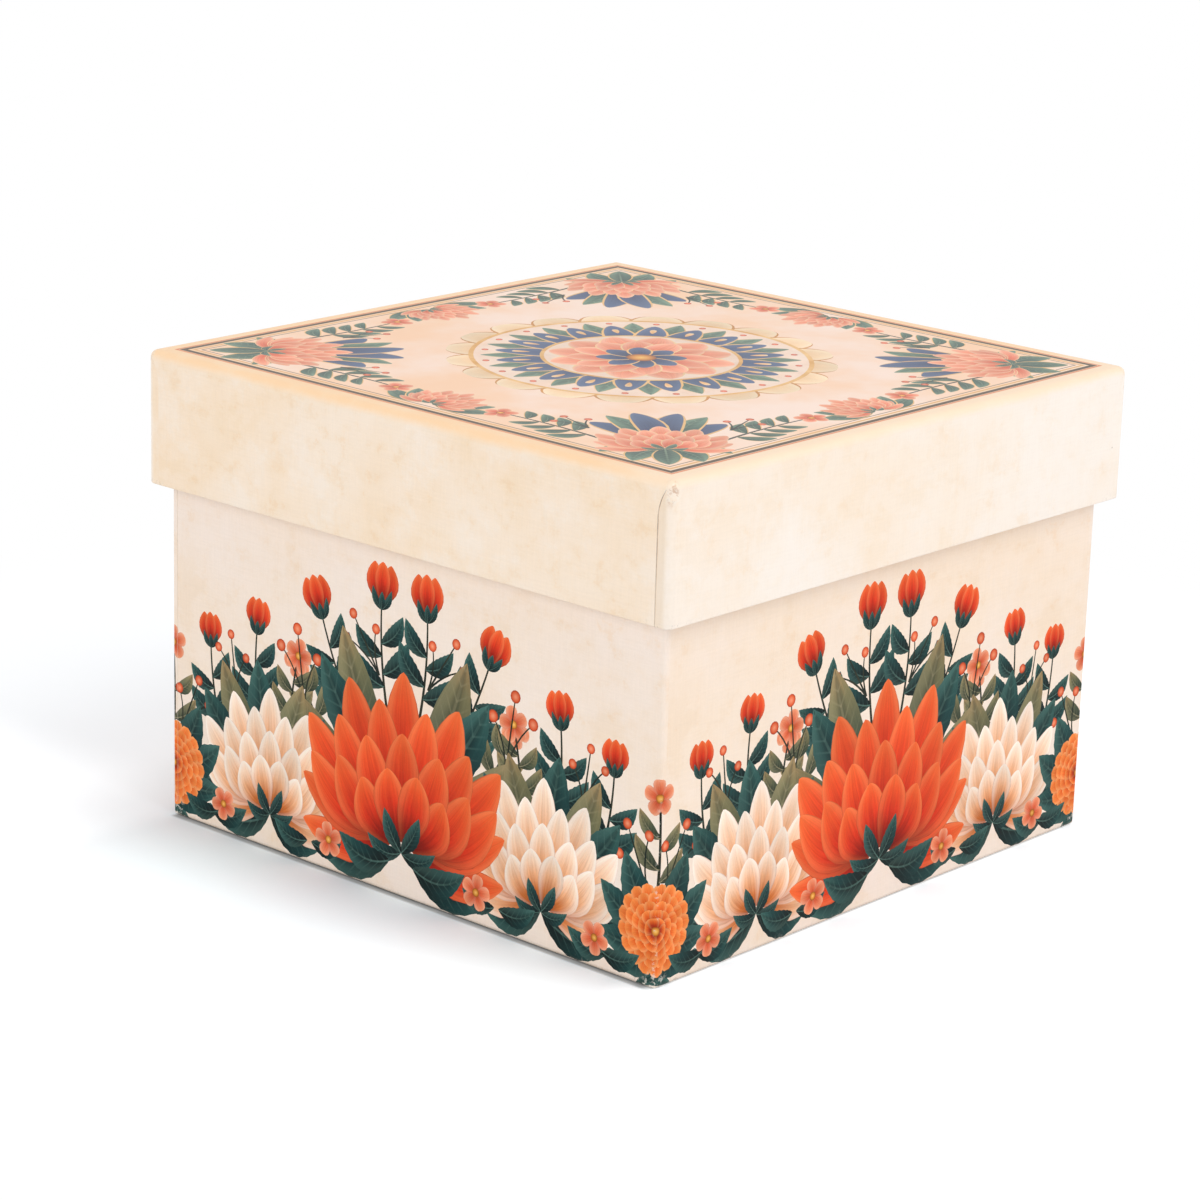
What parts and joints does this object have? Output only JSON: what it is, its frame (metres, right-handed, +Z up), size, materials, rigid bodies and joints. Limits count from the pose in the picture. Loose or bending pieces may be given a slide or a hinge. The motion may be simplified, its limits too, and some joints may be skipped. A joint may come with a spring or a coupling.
{
  "type": "sweet box",
  "caption": "Square rigid paperboard box for sweets: a lined tray with a telescoping lift-off lid, both wrapped in printed paper.",
  "frame": {"origin": "middle of the underside, on the surface the box stands on", "axes": "+Z up, the way the lid lifts off; +X to the right and -Y to the front, square to the walls"},
  "size_m": [0.127, 0.127, 0.0894],
  "materials": {
    "greyboard": "bare recycled greyboard, matt",
    "stay_tape": "brown gummed paper tape",
    "base_print": "printed art paper, pale cream-pink ground, matt laminate",
    "lid_print": "printed art paper, cream parchment ground, matt laminate",
    "lining_paper": "plain off-white lining paper, matt"
  },
  "bodies": {
    "base": {"base_floor_board": "greyboard", "base_front_wall_board": "greyboard", "base_back_wall_board": "greyboard", "base_left_wall_board": "greyboard", "base_right_wall_board": "greyboard", "base_front_left_stay": "stay_tape", "base_front_right_stay": "stay_tape", "base_back_left_stay": "stay_tape", "base_back_right_stay": "stay_tape", "base_wrap": "base_print", "base_bottom_sheet": "lining_paper", "base_wall_lining": "lining_paper", "base_floor_lining": "lining_paper"},
    "lid": {"lid_top_board": "greyboard", "lid_front_skirt_board": "greyboard", "lid_back_skirt_board": "greyboard", "lid_left_skirt_board": "greyboard", "lid_right_skirt_board": "greyboard", "lid_front_left_stay": "stay_tape", "lid_front_right_stay": "stay_tape", "lid_back_left_stay": "stay_tape", "lid_back_right_stay": "stay_tape", "lid_wrap": "lid_print", "lid_lining": "lining_paper"}
  },
  "joints": [
    {"name": "lid_lift", "type": "slide", "parent": "base", "child": "lid", "axis": [0, 0, 1], "range_m": [0, 0.06]}
  ]
}
